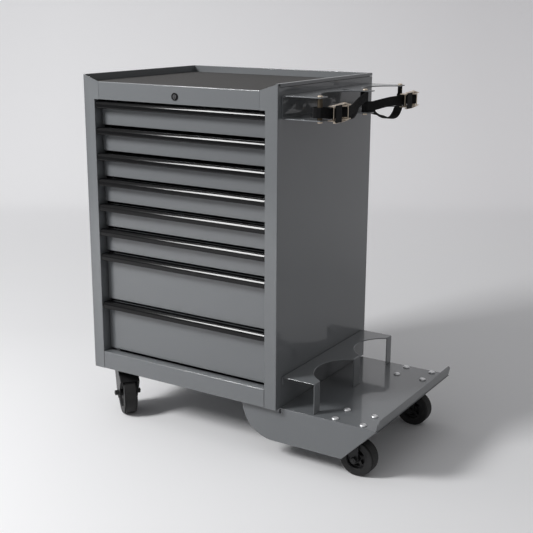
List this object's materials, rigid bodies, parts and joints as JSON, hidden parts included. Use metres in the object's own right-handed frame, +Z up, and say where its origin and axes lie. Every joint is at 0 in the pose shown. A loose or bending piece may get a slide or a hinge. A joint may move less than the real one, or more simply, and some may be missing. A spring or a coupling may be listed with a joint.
{
  "type": "welding cart",
  "caption": "Steel roller cabinet with stacked drawers and a side platform that carries two gas bottles held by scalloped brackets and ratchet straps.",
  "frame": {"origin": "on the floor under the centre of the object's box", "axes": "+Z up, -Y towards the drawers' fronts, +X towards the bottle platform"},
  "size_m": [0.993, 0.5624, 1.086],
  "materials": {
    "slate_paint": "glossy powder coat",
    "black_gloss": "high gloss",
    "yellow_zinc": "yellow zinc plate",
    "black_steel": "satin",
    "black_rubber": "matte",
    "black_webbing": "woven",
    "grey_mat": "fine-grained foam",
    "galvanised_steel": "galvanised"
  },
  "bodies": {
    "cabinet": {"side_panel_left": "slate_paint", "side_panel_right": "slate_paint", "back_panel": "slate_paint", "top_tray": "slate_paint", "top_mat": "grey_mat", "front_fascia": "slate_paint", "bottom_rail": "slate_paint", "floor_pan": "slate_paint", "slide_rack_left": "galvanised_steel", "slide_rack_right": "galvanised_steel", "platform": "slate_paint", "bottle_shelf": "slate_paint", "upper_bracket": "slate_paint", "strap_post_front": "yellow_zinc", "strap_post_middle": "yellow_zinc", "strap_post_rear": "yellow_zinc", "ratchet_front_frame": "yellow_zinc", "ratchet_rear_frame": "yellow_zinc", "strap_front_short": "black_webbing", "strap_rear_short": "black_webbing", "strap_front_long": "black_webbing", "strap_rear_long": "black_webbing", "caster_plate_front": "black_steel", "caster_plate_rear": "black_steel", "fixed_caster_front": "black_steel", "fixed_caster_rear": "black_steel", "fixed_axle_front": "black_steel", "fixed_axle_rear": "black_steel"},
    "drawer_1_body": {"drawer_1": "slate_paint", "drawer_pull_1": "black_gloss"},
    "drawer_2_body": {"drawer_2": "slate_paint", "drawer_pull_2": "black_gloss"},
    "drawer_3_body": {"drawer_3": "slate_paint", "drawer_pull_3": "black_gloss"},
    "drawer_4_body": {"drawer_4": "slate_paint", "drawer_pull_4": "black_gloss"},
    "drawer_5_body": {"drawer_5": "slate_paint", "drawer_pull_5": "black_gloss"},
    "drawer_6_body": {"drawer_6": "slate_paint", "drawer_pull_6": "black_gloss"},
    "drawer_7_body": {"drawer_7": "slate_paint", "drawer_pull_7": "black_gloss"},
    "drawer_8_body": {"drawer_8": "slate_paint", "drawer_pull_8": "black_gloss"},
    "lock": {"lock_cylinder": "black_gloss"},
    "swivel_front": {"caster_fork_front": "black_steel", "caster_axle_front": "black_steel"},
    "swivel_wheel_front": {"caster_wheel_front": "black_rubber"},
    "swivel_rear": {"caster_fork_rear": "black_steel", "caster_axle_rear": "black_steel"},
    "swivel_wheel_rear": {"caster_wheel_rear": "black_rubber"},
    "fixed_wheel_front_body": {"fixed_wheel_front": "black_rubber"},
    "fixed_wheel_rear_body": {"fixed_wheel_rear": "black_rubber"},
    "ratchet_front_handle_body": {"ratchet_front_handle": "yellow_zinc"},
    "ratchet_front_spool_body": {"ratchet_front_spool": "yellow_zinc"},
    "ratchet_rear_handle_body": {"ratchet_rear_handle": "yellow_zinc"},
    "ratchet_rear_spool_body": {"ratchet_rear_spool": "yellow_zinc"}
  },
  "joints": [
    {"name": "drawer_1_slide", "type": "slide", "parent": "cabinet", "child": "drawer_1_body", "axis": [0, -1, 0], "range_m": [0, 0.42]},
    {"name": "drawer_2_slide", "type": "slide", "parent": "cabinet", "child": "drawer_2_body", "axis": [0, -1, 0], "range_m": [0, 0.42]},
    {"name": "drawer_3_slide", "type": "slide", "parent": "cabinet", "child": "drawer_3_body", "axis": [0, -1, 0], "range_m": [0, 0.42]},
    {"name": "drawer_4_slide", "type": "slide", "parent": "cabinet", "child": "drawer_4_body", "axis": [0, -1, 0], "range_m": [0, 0.42]},
    {"name": "drawer_5_slide", "type": "slide", "parent": "cabinet", "child": "drawer_5_body", "axis": [0, -1, 0], "range_m": [0, 0.42]},
    {"name": "drawer_6_slide", "type": "slide", "parent": "cabinet", "child": "drawer_6_body", "axis": [0, -1, 0], "range_m": [0, 0.42]},
    {"name": "drawer_7_slide", "type": "slide", "parent": "cabinet", "child": "drawer_7_body", "axis": [0, -1, 0], "range_m": [0, 0.42]},
    {"name": "drawer_8_slide", "type": "slide", "parent": "cabinet", "child": "drawer_8_body", "axis": [0, -1, 0], "range_m": [0, 0.42]},
    {"name": "lock_turn", "type": "hinge", "parent": "cabinet", "child": "lock", "pos_m": [-0.1565, -0.27885, 1.036], "axis": [0, -1, 0], "range_deg": [0, 90]},
    {"name": "swivel_front_turn", "type": "hinge", "parent": "cabinet", "child": "swivel_front", "pos_m": [-0.4435, -0.19485, 0.1515], "axis": [0, 0, 1], "continuous": true},
    {"name": "swivel_wheel_front_roll", "type": "hinge", "parent": "swivel_front", "child": "swivel_wheel_front", "pos_m": [-0.42052, -0.21413, 0.0695], "axis": [0.6428, 0.766, 0], "continuous": true},
    {"name": "swivel_rear_turn", "type": "hinge", "parent": "cabinet", "child": "swivel_rear", "pos_m": [-0.4435, 0.19715, 0.1515], "axis": [0, 0, 1], "continuous": true},
    {"name": "swivel_wheel_rear_roll", "type": "hinge", "parent": "swivel_rear", "child": "swivel_wheel_rear", "pos_m": [-0.42629, 0.17258, 0.0695], "axis": [0.8192, 0.5736, 0], "continuous": true},
    {"name": "fixed_wheel_front_roll", "type": "hinge", "parent": "cabinet", "child": "fixed_wheel_front_body", "pos_m": [0.4152, -0.20385, 0.0525], "axis": [0, 1, 0], "continuous": true},
    {"name": "fixed_wheel_rear_roll", "type": "hinge", "parent": "cabinet", "child": "fixed_wheel_rear_body", "pos_m": [0.4032, 0.20615, 0.0525], "axis": [0, 1, 0], "continuous": true},
    {"name": "ratchet_front_handle_swing", "type": "hinge", "parent": "cabinet", "child": "ratchet_front_handle_body", "pos_m": [0.3145, -0.15235, 1.011], "axis": [0, 0, 1], "range_deg": [0, 150]},
    {"name": "ratchet_front_spool_turn", "type": "hinge", "parent": "cabinet", "child": "ratchet_front_spool_body", "pos_m": [0.3145, -0.15235, 1.011], "axis": [0, 0, 1], "continuous": true},
    {"name": "ratchet_rear_handle_swing", "type": "hinge", "parent": "cabinet", "child": "ratchet_rear_handle_body", "pos_m": [0.3355, 0.25165, 1.016], "axis": [0, 0, 1], "range_deg": [0, 150]},
    {"name": "ratchet_rear_spool_turn", "type": "hinge", "parent": "cabinet", "child": "ratchet_rear_spool_body", "pos_m": [0.3355, 0.25165, 1.016], "axis": [0, 0, 1], "continuous": true}
  ]
}
